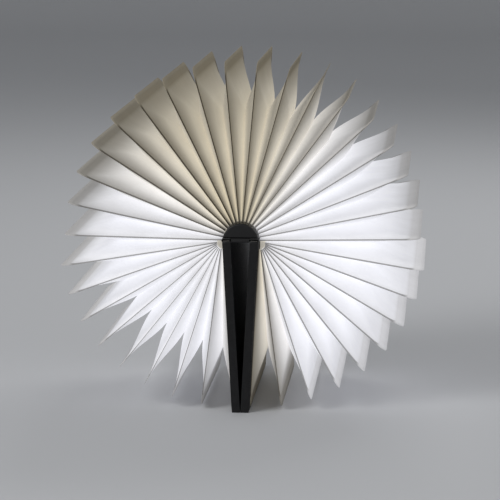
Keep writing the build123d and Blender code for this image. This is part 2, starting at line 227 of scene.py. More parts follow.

# %% [markdown]
# The last tables are the colours. A ramp runs from one colour to another as a value rises, and
# mixes join the ramps. The paper's colour carries painted light and shade: beige on dim leaves and
# a darker grey on lit ones, darker where a dim leaf is folded, much darker in the head and tail
# borders and a little darker in the fore-edge border. The tint of its glow is beige at the top and
# at the root and white elsewhere.

# %% Colours of the paper
# name, the value it follows, and its place and colour at both ends
PAPER_RAMPS = (
    ("lamp tint", "light", (0.0, "#DDD8CB"), (0.7, "#F7F8FF")),
    # painted light and shade: the base colour follows the leaf's light, beige on dim leaves and
    # darker grey on lit ones
    ("paper", "light", (0.0, "#D9D4C8"), (0.7, "#CACACB")),
    # painted shade: darker from the valley towards the border
    ("folded", "fold", (0.0, "#C2BDB1"), (0.6, "#FFFFFF")),
    # painted shadow for the head and tail borders, darkest on dim leaves
    ("border line", "light", (0.0, "#7C766A"), (1.0, "#B9B7B4")),
    # painted shade: the fore-edge border a little darker
    ("fore-edge", "fold", (0.0, "#E2E0DC"), (0.2, "#FFFFFF")),
    ("mottle", "clouds", (0.35, "#D4D0C8"), (0.65, "#FFFFFF")),
)
# name, how it mixes, the factor, and the two colours
PAPER_MIXES = (
    ("glow tint", "MIX", "root warmth", "lamp tint", "warm root"),
    # painted shade on dim leaves, fading out on bright ones
    ("shade", "MIX", "bright leaf", "folded", "white"),
    ("shaded", "MULTIPLY", "full", "paper", "shade"),
    # painted shadow in the head and tail borders
    ("ridge", "MIX", "past the border", "border line", "white"),
    # painted shade: the border shadow along head and tail, the lighter fore-edge shade at the
    # fore-edge
    ("seam", "MIX", "on the fore-edge", "ridge", "fore-edge"),
    ("bordered", "MULTIPLY", "full", "shaded", "seam"),
    ("mottled", "MULTIPLY", "faint", "bordered", "mottle"),
)
print("ramps", len(PAPER_RAMPS), "mixes", len(PAPER_MIXES))

# %% [markdown]
# Now the tables become nodes. The paper's surface is finished with a very shallow bump of fibres,
# which catches the studio light, and with soft clouds, which show where the light comes through.

# %% Paper
FIBRE_MM = 0.9  # real fibres are finer: they are drawn this coarse so that they show
CLOUD_MM = 16.0  # thinner and thicker places in the sheet


def make_paper():
    """Uncoated paper: matt and faintly fibrous, and glowing where the light comes through."""
    material, tree = new_material("uncoated white paper lit from behind")
    place = add(tree, "ShaderNodeTexCoord").outputs["Object"]
    parts = {
        name: add(tree, "ShaderNodeAttribute", {"attribute_name": name}).outputs["Fac"]
        for name in ("light", "fold", "out")
    }
    fibres, clouds = [
        add(
            tree,
            "ShaderNodeTexNoise",
            inputs={"Vector": place, "Scale": 1000 / size, "Detail": detail, "Roughness": rough},
        ).outputs["Fac"]
        for size, detail, rough in ((FIBRE_MM, 6.0, 0.7), (CLOUD_MM, 3.0, 0.55))
    ]
    veil = add(
        tree, "ShaderNodeMapRange", inputs={"Value": clouds, "To Min": 0.9, "To Max": 1.1}
    ).outputs["Result"]
    parts.update({"clouds": clouds, "veil": veil, "full": 1.0, "faint": 0.12})
    for name, value, (low, high), (at_low, at_high) in PAPER_CURVES:
        parts[name] = add(
            tree,
            "ShaderNodeMapRange",
            {"interpolation_type": "SMOOTHSTEP", "label": name},
            {
                "Value": parts[value],
                "From Min": low,
                "From Max": high,
                "To Min": at_low,
                "To Max": at_high,
            },
        ).outputs["Result"]
    for name, factor, one, other in PAPER_BLENDS:
        parts[name] = add(
            tree,
            "ShaderNodeMix",
            {"data_type": "FLOAT", "label": name},
            {"Factor": parts[factor], "A": parts[one], "B": parts[other]},
        ).outputs["Result"]
    for name, operation, one, other in PAPER_SUMS:
        parts[name] = add(
            tree,
            "ShaderNodeMath",
            {"operation": operation, "label": name},
            {0: parts[one], 1: parts[other]},
        ).outputs[0]
    tones = {"white": linear("#FFFFFF"), "warm root": linear("#E2D8BE")}
    for name, value, low, high in PAPER_RAMPS:
        tones[name] = add(
            tree,
            "ShaderNodeValToRGB",
            {"stops": (low, high), "label": name},
            {"Fac": parts[value]},
        ).outputs["Color"]
    for name, blend, factor, one, other in PAPER_MIXES:
        tones[name] = add(
            tree,
            "ShaderNodeMix",
            {"data_type": "RGBA", "blend_type": blend, "label": name},
            {"Factor": parts[factor], COLOUR_A: tones[one], COLOUR_B: tones[other]},
        ).outputs[COLOUR_OUT]
    inputs = {
        "Base Color": tones["mottled"],
        "Roughness": 0.85,
        "IOR": 1.47,
        "Specular IOR Level": 0.25,
        "Emission Color": tones["glow tint"],
        "Emission Strength": parts["strength"],
    }
    surface(tree, inputs, fibres, depth_mm=0.03)
    return material


paper = make_paper()
print(paper.name, len(paper.node_tree.nodes), "nodes")

# %% [markdown]
# ### Leatherette
# The covers are wrapped in black leatherette: paper with a thin embossed plastic skin. Its grain
# is a net of low ridges round dimples about 0.9 mm across, with finer creases between. A picture
# of leather could be wrapped round the covers, but it would have to be lined up on each face.
# Voronoi cells in the piece's own space give the dimples on all faces at once. The ridges are a
# little smoother than the dimples, because hands rub them.

# %% Black leatherette
DIMPLE_MM = 0.9
CREASE_MM = 0.5
DYE_MM = 3.0


def make_leatherette():
    """Embossed plastic skin: deep black, with a fine broken satin highlight."""
    material, tree = new_material("embossed black leatherette")
    place = add(tree, "ShaderNodeTexCoord").outputs["Object"]
    dye, creases = [
        add(
            tree,
            "ShaderNodeTexNoise",
            inputs={"Vector": place, "Scale": 1000 / size, "Detail": detail, "Roughness": 0.55},
        ).outputs["Fac"]
        for size, detail in ((DYE_MM, 2.0), (CREASE_MM, 3.0))
    ]
    dimples = add(
        tree,
        "ShaderNodeTexVoronoi",
        {"feature": "SMOOTH_F1"},
        {"Vector": place, "Scale": 1000 / DIMPLE_MM, "Smoothness": 0.6, "Randomness": 0.9},
    ).outputs["Distance"]
    height = add(
        tree, "ShaderNodeMath", {"operation": "MULTIPLY_ADD"}, {0: creases, 1: 0.35, 2: dimples}
    ).outputs[0]
    colour = add(
        tree,
        "ShaderNodeValToRGB",
        {"stops": ((0.3, "#0C0C0D"), (0.75, "#161617"))},
        {"Fac": dye},
    ).outputs["Color"]
    rubbed = add(
        tree,
        "ShaderNodeMapRange",
        inputs={"Value": dimples, "From Max": 0.8, "To Min": 0.58, "To Max": 0.42},
    ).outputs["Result"]
    inputs = {"Base Color": colour, "Roughness": rubbed, "IOR": 1.5, "Specular IOR Level": 0.28}
    surface(tree, inputs, height, depth_mm=0.1, strength=0.8)
    return material


leatherette = make_leatherette()
print(leatherette.name, "with dimples of", DIMPLE_MM, "mm")

# %% [markdown]
# ### Book cloth
# The hinge cloth is a plain weave, dyed black, of threads about 0.4 mm apart. Each thread goes
# over one and under the next, so the pattern repeats every two threads. Sine waves along the
# three axes, multiplied, rise and fall in just that way, and need no picture and no UV map.

# %% Woven cloth
THREAD_MM = 0.4


def make_cloth():
    """Plain-weave cloth: dead black, with a soft sheen at the edges from the threads' fuzz."""
    material, tree = new_material("black plain-weave book cloth")
    place = add(tree, "ShaderNodeTexCoord").outputs["Object"]
    split = add(tree, "ShaderNodeSeparateXYZ", inputs={"Vector": place})
    waves = []
    for axis in ("X", "Y", "Z"):
        turns = add(
            tree,
            "ShaderNodeMath",
            {"operation": "MULTIPLY"},
            {0: split.outputs[axis], 1: 2 * math.pi * 1000 / (2 * THREAD_MM)},
        ).outputs[0]
        waves.append(add(tree, "ShaderNodeMath", {"operation": "SINE"}, {0: turns}).outputs[0])
    across = add(tree, "ShaderNodeMath", {"operation": "ADD"}, {0: waves[0], 1: waves[2]})
    weave = add(
        tree, "ShaderNodeMath", {"operation": "MULTIPLY"}, {0: across.outputs[0], 1: waves[1]}
    ).outputs[0]
    colour = add(
        tree,
        "ShaderNodeValToRGB",
        {"stops": ((0.2, "#0F0F10"), (0.9, "#1E1E1F"))},
        {"Fac": weave},
    ).outputs["Color"]
    inputs = {
        "Base Color": colour,
        "Roughness": 0.9,
        "Sheen Weight": 0.25,
        "Sheen Roughness": 0.5,
    }
    surface(tree, inputs, weave, depth_mm=0.08, strength=0.7)
    return material


cloth = make_cloth()
print(cloth.name, "with threads of", THREAD_MM, "mm")

# %% [markdown]
# ### Lining paper and board
# The lining, the spine's strip and the cover boards are paper goods: pulp, dyed or left grey, and
# pressed flat. They differ only in colour and in how coarse their fibre is, so one function makes
# all three from fine noise.

# %% Black papers and grey board
def make_board(name, dark, pale, fibre_mm):
    """Pressed pulp: quite matt and slightly uneven, and a little paler than the leatherette."""
    material, tree = new_material(name)
    place = add(tree, "ShaderNodeTexCoord").outputs["Object"]
    fibres = add(
        tree,
        "ShaderNodeTexNoise",
        inputs={"Vector": place, "Scale": 1000 / fibre_mm, "Detail": 6.0, "Roughness": 0.7},
    ).outputs["Fac"]
    colour = add(
        tree, "ShaderNodeValToRGB", {"stops": ((0.3, dark), (0.7, pale))}, {"Fac": fibres}
    ).outputs["Color"]
    surface(tree, {"Base Color": colour, "Roughness": 0.8, "IOR": 1.47}, fibres, depth_mm=0.04)
    return material


lining_paper = make_board("black lining paper", "#1A1A1B", "#262627", 0.8)
dyed_board = make_board("black dyed spine board", "#0E0E0F", "#171718", 1.2)
grey_board = make_board("pressed grey board", "#6B6966", "#85827D", 1.5)
print("papers and boards:", lining_paper.name, dyed_board.name, grey_board.name, sep="\n  ")

# %% [markdown]
# ### Moulded plastics and metals
# The bar is injection-moulded ABS, from a mould that was spark-eroded to a fine matt texture. In
# it are a masked circuit board, nickel-plated magnets, a foil cell and a drawn steel socket. One
# function makes every plastic and one every metal. Faint clouds in the colour and a very shallow
# grain keep them from looking too perfect. A spark-eroded grain is finer than a tenth of a
# millimetre, and is drawn at about a third so that it shows.

# %% Plastics and metals
PLASTIC_CLOUD_MM = 12.0
METAL_CLOUD_MM = 2.5


def make_moulded(name, dark, pale, roughness, grain_mm=0.35, height_mm=0.02, glow=None):
    """Moulded plastic: an even colour, and a highlight that the mould's texture softens."""
    material, tree = new_material(name)
    place = add(tree, "ShaderNodeTexCoord").outputs["Object"]
    texture, clouds = [
        add(
            tree,
            "ShaderNodeTexNoise",
            inputs={"Vector": place, "Scale": 1000 / size, "Detail": detail, "Roughness": 0.55},
        ).outputs["Fac"]
        for size, detail in ((grain_mm, 3.0), (PLASTIC_CLOUD_MM, 2.0))
    ]
    colour = add(
        tree, "ShaderNodeValToRGB", {"stops": ((0.3, dark), (0.7, pale))}, {"Fac": clouds}
    ).outputs["Color"]
    inputs = {
        "Base Color": colour,
        "Roughness": roughness,
        "IOR": 1.53,
        "Specular IOR Level": 0.32,
    }
    if glow:
        inputs["Emission Color"] = linear(glow)
        inputs["Emission Strength"] = 1.0
    surface(tree, inputs, texture, height_mm, strength=0.6)
    return material


def make_metal(name, dark, pale, roughness):
    """Bare metal: its colour lies in the reflection, and faint blotches break it up."""
    material, tree = new_material(name)
    place = add(tree, "ShaderNodeTexCoord").outputs["Object"]
    clouds = add(
        tree,
        "ShaderNodeTexNoise",
        inputs={"Vector": place, "Scale": 1000 / METAL_CLOUD_MM, "Detail": 4.0, "Roughness": 0.55},
    ).outputs["Fac"]
    colour = add(
        tree, "ShaderNodeValToRGB", {"stops": ((0.3, dark), (0.7, pale))}, {"Fac": clouds}
    ).outputs["Color"]
    inputs = {"Base Color": colour, "Metallic": 1.0, "Roughness": roughness}
    surface(tree, inputs, clouds, depth_mm=0.01, strength=0.4)
    return material


# the spark texture scatters the highlight, so the bar's ends read as matt black
black_abs = make_moulded("spark-textured black ABS", "#0B0B0C", "#131314", 0.5)
# solder mask is a thin lacquer, smooth enough for a soft reflection
white_mask = make_moulded("white solder mask", "#E4E4E0", "#F0F0EC", 0.35, 0.6, 0.01)
green_mask = make_moulded("green solder mask", "#0C4A26", "#12592F", 0.35, 0.6, 0.01)
# an LED's phosphor is a pale yellow gel that glows warm white
phosphor = make_moulded("LED phosphor", "#F7E3A0", "#FBECB8", 0.4, 0.5, 0.01, "#FFE9BF")
# silicone insulation is soft and half matt, and glass is smooth and nearly clear of texture
red_silicone = make_moulded("red silicone insulation", "#9E1C14", "#B0241A", 0.5, 0.5, 0.01)
reed_glass = make_moulded("switch glass", "#BFD9CC", "#D2E8DC", 0.08, 0.8, 0.0)
# foil is dull silver, drawn steel a little darker and sharper, nickel warm and almost polished
cell_foil = make_metal("aluminium pouch foil", "#B9BBC0", "#D0D2D6", 0.35)
drawn_steel = make_metal("drawn steel", "#A9A9AC", "#BFBFC2", 0.3)
nickel = make_metal("nickel plating", "#B4B0A6", "#C9C5BA", 0.18)
print("materials so far", len(bpy.data.materials))

# %% [markdown]
# ### The lens
# The lens is milky polycarbonate, and the light leaves it at the sides. Its dark crown is painted
# shade, satin black, with no piece of its own, so one material changes its colour and its glow
# with the height.

# %% Milky lens with painted shade on its crown
CROWN = (3.5, 4.5)  # the painted shade's soft edge, in mm above the bar's middle


def make_lens():
    """Milky polycarbonate: a soft warm glow at the sides, painted satin black shade on the crown.
    """
    material, tree = new_material("milky polycarbonate with painted shade on the crown")
    place = add(tree, "ShaderNodeTexCoord").outputs["Object"]
    height = add(tree, "ShaderNodeSeparateXYZ", inputs={"Vector": place}).outputs["Z"]
    crown = add(
        tree,
        "ShaderNodeMapRange",
        {"interpolation_type": "SMOOTHSTEP"},
        {
            "Value": height,
            "From Min": (BAR_Z + CROWN[0]) * MM,
            "From Max": (BAR_Z + CROWN[1]) * MM,
        },
    ).outputs["Result"]
    glow = add(tree, "ShaderNodeMath", {"operation": "MULTIPLY_ADD"}, {0: crown, 1: -0.5, 2: 0.5})
    # painted shade: milky at the sides, satin black on the crown
    colour = add(
        tree,
        "ShaderNodeValToRGB",
        {"stops": ((0.0, "#EFE9DC"), (1.0, "#121213"))},
        {"Fac": crown},
    ).outputs["Color"]
    inputs = {
        "Base Color": colour,
        "Roughness": 0.45,
        "IOR": 1.58,
        "Emission Color": linear("#FFE7B8"),
        "Emission Strength": glow.outputs[0],
    }
    surface(tree, inputs)
    return material


milky_lens = make_lens()
print(milky_lens.name, "glows below %.1f mm" % (BAR_Z + CROWN[0]))

# %% [markdown]
# ## Pieces that keep their solids
# The bar, what is in it, the linings and the spine are already right as they come in the frame.
# They could be copied and dressed, but they have no soft edge or bend that shows, so they stay
# where they are and only get their finish.

# %% Finishes for the frame's own pieces
CARRIED = {
    "spine_board": dyed_board,
    "bar_housing": black_abs,
    "lens_diffuser": milky_lens,
    "head_cap": black_abs,
    "tail_cap": black_abs,
    "led_board": white_mask,
    "battery_cell": cell_foil,
    "battery_leads": red_silicone,
    "charge_board": green_mask,
    "usb_socket": drawn_steel,
    "reed_switch": reed_glass,
    "switch_magnet": nickel,
    "front_magnets": nickel,
    "back_magnets": nickel,
    "front_cover_board": grey_board,
    "back_cover_board": grey_board,
    "front_lining": lining_paper,
    "back_lining": lining_paper,
    "spine_skin": leatherette,
}
for node_name, finish in CARRIED.items():
    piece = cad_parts[node_name]
    piece.data.materials.clear()
    piece.data.materials.append(finish)
print("kept and finished", len(CARRIED), "frame pieces")

# %% [markdown]
# ## The paper leaves
# A leaf is two sheets glued along three edges. From the glued border each sheet rises in a fold to
# the valley, where it is joined to the next leaf. Thirty-four leaves could be modelled by hand,
# but each has to meet its neighbours, so one rule makes them all.
# Every line of a sheet runs the same way: out from the root along the head, round a corner, down
# the fore-edge, round the other corner and back along the tail. One helper draws such a line.

# %% A line round a sheet
def corner_path(x_root, x_far, half, radius, steps=7, along=14, side=12):
    """Points from the root at the head, round both rounded corners, to the root at the tail."""
    points = []
    for n in range(along + 1):
        points.append((x_root + (x_far - radius - x_root) * n / along, half))
    for n in range(1, steps + 1):
        turn = math.pi / 2 * n / steps
        points.append(
            (x_far - radius + radius * math.sin(turn), half - radius + radius * math.cos(turn))
        )
    for n in range(1, side + 1):
        points.append((x_far, (half - radius) * (1 - 2 * n / side)))
    turned = [(x, -y) for x, y in points[: along + steps]]
    return points + list(reversed(turned))


print("points in a line", len(corner_path(0, 1, 1, 0.1)))

# %% [markdown]
# ### A flat sheet
# The sheet is drawn flat, as rows of points from its rim over the border to the valley, and each
# point notes how far it will rise. Paper doesn't stretch: the higher the valley rises, the nearer
# it comes to the border, and that is how the valley's place is found.

# %% A flat sheet with its rounded corners
LEAF_LENGTH = 114.0  # along the spine
LEAF_PLY = 0.15  # one sheet of paper
SEAM = 5.0  # glued border along the fore-edge
END_SEAM = 2.5  # glued border along head and tail
FOLD = 26.0  # free paper between the border and the valley
TAB = 4.0  # glue tab behind the valley
SHOWN_GAP = 0.02  # room to the neighbour's sheet at the valley
LEAST_RISE = 0.03  # near the root a sheet still stands this far off the leaf's middle
RIM_ROUND, SEAM_ROUND, VALLEY_ROUND = 7.0, 5.0, 3.0  # corner radii
FOLD_ROWS = 9
TINY = 1e-6


def flat_sheet(name, root, reach, lift=0.0):
    """A leaf's sheet drawn flat in its own plane: border, fold and how far each point rises."""
    slope = math.tan(math.radians(LEAF_STEP / 2))
    lift -= SHOWN_GAP + LEAF_PLY
    edge_x = reach - SEAM
    edge_y = LEAF_LENGTH / 2 - END_SEAM
    valley_x = edge_x - FOLD
    # twenty rounds are plenty for rise and place to agree
    for _ in range(20):
        rise = valley_x * slope + lift
        valley_x = edge_x - math.sqrt(FOLD**2 - rise**2)
    valley_in = edge_x - valley_x
    valley_y = edge_y - valley_in
    rim = corner_path(root, reach, LEAF_LENGTH / 2, RIM_ROUND)
    seam = corner_path(root, edge_x, edge_y, SEAM_ROUND)
    valley = corner_path(root, valley_x, valley_y, VALLEY_ROUND)
    count = len(seam)
    # along head and tail the valley runs down to the root, so there it rises less
    rises = []
    for n, (x, y) in enumerate(valley):
        here = min(max(x * slope + lift, LEAST_RISE), rise)
        if abs(y) >= valley_y - TINY:
            valley[n] = (x, math.copysign(edge_y - valley_in * here / rise, y))
        rises.append(here * MM)
    tab, tab_rises = [], []
    for n, (x, y) in enumerate(corner_path(root, valley_x - TAB, valley_y - TAB, VALLEY_ROUND)):
        tab_rises.append(min(max(x * slope + lift, LEAST_RISE), rise) * MM)
        if abs(y) >= valley_y - TAB - TINY:
            y = math.copysign(abs(valley[n][1]) - TAB, y)
        tab.append((x, y))
    rows = [(-1.0, rim, seam, 0.0), (-0.5, rim, seam, 0.5), (0.0, seam, seam, 0.0)]
    for n in range(1, FOLD_ROWS + 1):
        rows.append((n / FOLD_ROWS, seam, valley, n / FOLD_ROWS))
    rows.append((1.0, tab, tab, 0.0))
    points, folds, heights, outs = [], [], [], []
    for fold, path_a, path_b, mix in rows:
        for n in range(count):
            (ax, ay), (bx, by) = path_a[n], path_b[n]
            x, y = ax + (bx - ax) * mix, ay + (by - ay) * mix
            points.append((x * MM, y * MM, 0.0))
            folds.append(fold)
            heights.append(tab_rises[n] if path_a is tab else rises[n])
            outs.append(x / reach)
    faces = []
    for r in range(len(rows) - 1):
        for n in range(count - 1):
            a, b = r * count + n, r * count + n + 1
            faces.append((a, a + count, b + count, b))
    mesh = bpy.data.meshes.new(name)
    mesh.from_pydata(points, [], faces)
    for label, values in (("fold", folds), ("rise", heights), ("out", outs)):
        mesh.attributes.new(label, "FLOAT", "POINT").data.foreach_set("value", values)
    mesh.update()
    if sum(face.normal.z for face in mesh.polygons) < 0:
        mesh.flip_normals()
    return mesh


trial = flat_sheet("trial sheet", ROOT_ON_BAR, ROOT_ON_BAR + LEAF_WIDTH)
print("a sheet has", len(trial.polygons), "faces in", FOLD_ROWS + 3, "rows")
bpy.data.meshes.remove(trial)

# %% [markdown]
# ### Folding a sheet
# Geometry Nodes fold the sheet, because every leaf takes the same steps: its points rise, softly
# or sharply, it gets its thickness, a mirror image becomes the second sheet, and the leaf turns
# to its place in the fan. The inputs are named, so each leaf has its own softness, light, place
# and turn. The tree ends in real geometry with its material, because an export drops instances.

# %% The tree that folds a sheet and places the leaf
WELD = 0.000002  # in metres


def new_tree(name, sockets):
    """A Geometry Nodes tree with its named inputs, and the sockets that they give."""
    tree = bpy.data.node_groups.new(name, "GeometryNodeTree")
    for label, kind in sockets.items():
        tree.interface.new_socket(label, in_out="INPUT", socket_type="NodeSocket" + kind)
    tree.interface.new_socket("Geometry", in_out="OUTPUT", socket_type="NodeSocketGeometry")
    return tree, add(tree, "NodeGroupInput").outputs


def fold_tree():
    """Geometry Nodes: raise a flat sheet to its valley, thicken it, mirror it and place it."""
    tree, given = new_tree(
        "fold a paper leaf",
        {
            "Geometry": "Geometry",
            "Ply": "Float",
            "Softness": "Float",
            "Light": "Float",
            "Both sheets": "Bool",
            "Place": "Vector",
            "Turn": "Vector",
            "Paper": "Material",
        },
    )
    fold, rise = [
        add(
            tree, "GeometryNodeInputNamedAttribute", {"data_type": "FLOAT"}, {"Name": name}
        ).outputs["Attribute"]
        for name in ("fold", "rise")
    ]
    folded = add(tree, "ShaderNodeMath", {"operation": "MAXIMUM"}, {0: fold, 1: 0.0}).outputs[0]
    eased = add(
        tree, "ShaderNodeMapRange", {"interpolation_type": "SMOOTHSTEP"}, {"Value": folded}
    ).outputs["Result"]
    shape = add(
        tree,
        "ShaderNodeMix",
        {"data_type": "FLOAT"},
        {"Factor": given["Softness"], "A": folded, "B": eased},
    ).outputs["Result"]
    total = add(tree, "ShaderNodeMath", {"operation": "MULTIPLY"}, {0: shape, 1: rise}).outputs[0]
    up = add(tree, "ShaderNodeCombineXYZ", inputs={"Z": total}).outputs[0]
    inner = add(
        tree, "GeometryNodeSetPosition", inputs={"Geometry": given["Geometry"], "Offset": up}
    ).outputs["Geometry"]
    ply_up = add(tree, "ShaderNodeCombineXYZ", inputs={"Z": given["Ply"]}).outputs[0]
    solid = add(
        tree,
        "GeometryNodeExtrudeMesh",
        {"mode": "FACES"},
        {"Mesh": inner, "Offset": ply_up, "Offset Scale": 1.0, "Individual": False},
    ).outputs["Mesh"]
    under = add(tree, "GeometryNodeFlipFaces", inputs={"Mesh": inner}).outputs["Mesh"]
    sheet = add(tree, "GeometryNodeJoinGeometry", inputs={"Geometry": [solid, under]})
    welded = add(
        tree,
        "GeometryNodeMergeByDistance",
        inputs={"Geometry": sheet.outputs["Geometry"], "Distance": WELD},
    ).outputs["Geometry"]
    mirrored = add(
        tree, "GeometryNodeTransform", inputs={"Geometry": welded, "Scale": (1.0, 1.0, -1.0)}
    ).outputs["Geometry"]
    second = add(tree, "GeometryNodeFlipFaces", inputs={"Mesh": mirrored}).outputs["Mesh"]
    chosen = add(
        tree,
        "GeometryNodeSwitch",
        {"input_type": "GEOMETRY"},
        {"Switch": given["Both sheets"], "True": second},
    ).outputs["Output"]
    both = add(tree, "GeometryNodeJoinGeometry", inputs={"Geometry": [welded, chosen]})
    lit = add(
        tree,
        "GeometryNodeStoreNamedAttribute",
        {"data_type": "FLOAT", "domain": "POINT"},
        {"Geometry": both.outputs["Geometry"], "Name": "light", "Value": given["Light"]},
    ).outputs["Geometry"]
    placed = add(
        tree,
        "GeometryNodeTransform",
        inputs={"Geometry": lit, "Translation": given["Place"], "Rotation": given["Turn"]},
    ).outputs["Geometry"]
    real = add(tree, "GeometryNodeRealizeInstances", inputs={"Geometry": placed})
    dressed = add(
        tree,
        "GeometryNodeSetMaterial",
        inputs={"Geometry": real.outputs["Geometry"], "Material": given["Paper"]},
    ).outputs["Geometry"]
    add(tree, "NodeGroupOutput", inputs={"Geometry": dressed})
    return tree


leaf_tree = fold_tree()
print(leaf_tree.name, len(leaf_tree.nodes), "nodes")

# %% [markdown]
# ### All the leaves
# The upper nine leaves on each side turn about the bar's middle, and the lower eight about a line
# just below their hinge line. Each is made by the tree, becomes a plain mesh, and takes the place
# of the plain leaf in the frame.
# The light isn't the same on both sides: on the right it starts at the very top and ends in a dim
# lowest leaf, and on the left it starts later. A sine of the leaf's number makes each fold a
# little softer or sharper than the next, as real paper is, and gives the same lamp on every run.

# %% Helpers for a leaf
# for each side: where the light starts, over how many degrees it grows, what is added below the
# side, and what the lowest leaf has
LEAF_LIGHT = {-1: (24, 86, 0.12, 0.8), 1: (0, 84, 0.4, 0.45)}
BELOW_SIDE, BELOW_SPAN = 75, 30
LOWEST_LEAF = 170
CLEAR_OF_BAR = 9.9  # how near the leaves come to the bar's middle in the shut book
CLOSED_PITCH = 0.56  # from leaf to leaf in the shut book


def leaf_light(side, angle):
    """How much of the bar's light a leaf carries: little at the top, most from the side down."""
    start, span, added, lowest = LEAF_LIGHT[side]
    if angle > LOWEST_LEAF:
        return lowest
    share = min(max((angle - start) / span, 0), 1)
    below = min(max((angle - BELOW_SIDE) / BELOW_SPAN, 0), 1)
    return share * share * (3 - 2 * share) + added * below


def shown_root(n, root):
    """Where a leaf starts, so that it stands just clear of the round bar in the closed book."""
    x = (n + 0.5) * CLOSED_PITCH
    return root - math.sqrt(ROOT_ON_BAR**2 - x**2) + math.sqrt(CLEAR_OF_BAR**2 - x**2)


def grown(flat, tree, values, smooth=True):
    """The plain mesh that a Geometry Nodes tree makes of a flat mesh."""
    helper = bpy.data.objects.new("helper", flat)
    bpy.context.scene.collection.objects.link(helper)
    modifier = helper.modifiers.new("grown", "NODES")
    modifier.node_group = tree
    for item in tree.interface.items_tree:
        if item.in_out == "INPUT" and item.name in values:
            modifier[item.identifier] = values[item.name]
    depsgraph = bpy.context.evaluated_depsgraph_get()
    mesh = bpy.data.meshes.new_from_object(helper.evaluated_get(depsgraph))
    bpy.data.objects.remove(helper)
    for polygon in mesh.polygons:
        polygon.use_smooth = smooth
    return mesh


def add_piece(name, mesh):
    """An object at the origin for a finished mesh."""
    piece = bpy.data.objects.new(name, mesh)
    bpy.context.scene.collection.objects.link(piece)
    return piece


for side, name in ((-1, "left"), (1, "right")):
    lights = [leaf_light(side, (n + 0.5) * LEAF_STEP) for n in range(LEAVES)]
    print(name, "light from the top down", " ".join("%.2f" % light for light in lights))

# %% The thirty-four leaves
HINGE_SHIFT = 0.09  # the upper leaves turn this far below the bar's middle
SIDE_ROOT = 3.6  # from the fan's lower middle to the first lower leaf's root
SIDE_ROOT_STEP = 0.32  # and each next root lies this much further out
SOFTNESS, SOFTNESS_CHANGE, SOFTNESS_TURN = 0.65, 0.2, 2.1

for letter, side in (("l", -1), ("r", 1)):
    for n in range(LEAVES):
        angle = (n + 0.5) * LEAF_STEP
        if n < LEAVES_ON_BAR:
            pivot, root = (0.0, BAR_Z - HINGE_SHIFT), ROOT_ON_BAR
        else:
            pivot, root = (side * PIVOT_X, FAN_Z), SIDE_ROOT + SIDE_ROOT_STEP * (n - LEAVES_ON_BAR)
        node = f"leaf_{letter}{n + 1:02d}"
        mesh = grown(
            flat_sheet("flat " + node, shown_root(n, root), root + LEAF_WIDTH),
            leaf_tree,
            {
                "Ply": LEAF_PLY * MM,
                "Softness": SOFTNESS + SOFTNESS_CHANGE * math.sin(SOFTNESS_TURN * n + side),
                "Light": leaf_light(side, angle),
                "Both sheets": True,
                "Place": (pivot[0] * MM, 0.0, pivot[1] * MM),
                "Turn": (0.0, math.radians(side * angle - 90), 0.0),
                "Paper": paper,
            },
        )
        piece = add_piece("paper_" + node, mesh)
        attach(piece, node)
        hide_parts(node)
        out = Vector((side * math.sin(math.radians(angle)), 0, math.cos(math.radians(angle))))
        across = Vector((-out.z, 0, out.x))
        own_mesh(piece)
print("leaves made", 2 * LEAVES)

# %% [markdown]
# ## End leaves
# At each end of the bellows one sheet joins the last valley to the lining of a cover. It could be
# half of one more leaf, cut in two, but the tree has a switch for the second sheet, so the same
# rule makes it. It lies on the cover, and its place comes from the cover's own directions.

# %% The two end leaves
END_LIGHT = {-1: 0.5, 1: 0.15}


def cover_ways(side):
    """The way down a cover, and the way from its lining into the cover."""
    lean = math.radians(LEAN)
    down = Vector((-side * math.sin(lean), 0, -math.cos(lean)))
    inward = Vector((-side * math.cos(lean), 0, math.sin(lean)))
    return down, inward


def fan_middle(side):
    """The point in mm, in the lining's face, that the end leaf is drawn from."""
    down, inward = cover_ways(side)
    return Vector((side * PIVOT_X, 0, PIVOT_Z)) + inward * LINING_INSET + down * FAN_DROP


for cover, side in COVERS.items():
    down, inward = cover_ways(side)
    origin = fan_middle(side)
    root = SIDE_ROOT + SIDE_ROOT_STEP * (LEAVES - 1 - LEAVES_ON_BAR)
    offset = LINING_INSET + FAN_DROP * math.sin(math.radians(LEAN))
    flat = flat_sheet("flat " + cover, shown_root(LEAVES - 1, root), root + LEAF_WIDTH, offset)
    if side > 0:
        flat.transform(Matrix.Scale(-1, 4, (0, 1, 0)))
        flat.flip_normals()
    mesh = grown(
        flat,
        leaf_tree,
        {
            "Ply": LEAF_PLY * MM,
            "Softness": SOFTNESS,
            "Light": END_LIGHT[side],
            "Both sheets": False,
            "Place": (0.0, 0.0, 0.0),
            "Turn": (0.0, 0.0, 0.0),
            "Paper": paper,
        },
    )
    axes = Matrix((down, Vector((0, 1, 0)), -inward)).transposed()
    if axes.determinant() < 0:
        axes = Matrix((down, Vector((0, -1, 0)), -inward)).transposed()
    mesh.transform(Matrix.Translation(origin * MM) @ axes.to_4x4())
    piece = add_piece("paper_end_leaf_" + cover, mesh)
    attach(piece, cover + "_cover")
    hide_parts(cover + "_end_leaf")
    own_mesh(piece)
    print(piece.name, len(mesh.polygons), "faces")

# %% [markdown]
# ## Root strips
# The lower leaves' roots leave a small quarter round free beside each hinge line, and one would
# see right through the lamp there. A rolled paper strip carries the roots and fills that place.
# Its section is a fan of a few points and it runs straight along the spine, so the script writes
# its points and faces directly, with the same three values on them as the leaves have.

# %% The strip along each hinge line
STRIP_SHORT = 4.0  # it ends this far inside the leaves, at head and tail
STRIP_START, STRIP_SWEEP = 96, 84  # degrees round from the top
STRIP_RADIUS, STRIP_GROWTH = 2.9, 1.4  # it widens with the roots on its way down
STRIP_STEPS = 10
STRIP_VALUES = {"fold": 0.8, "out": 0.1, "light": 0.15}


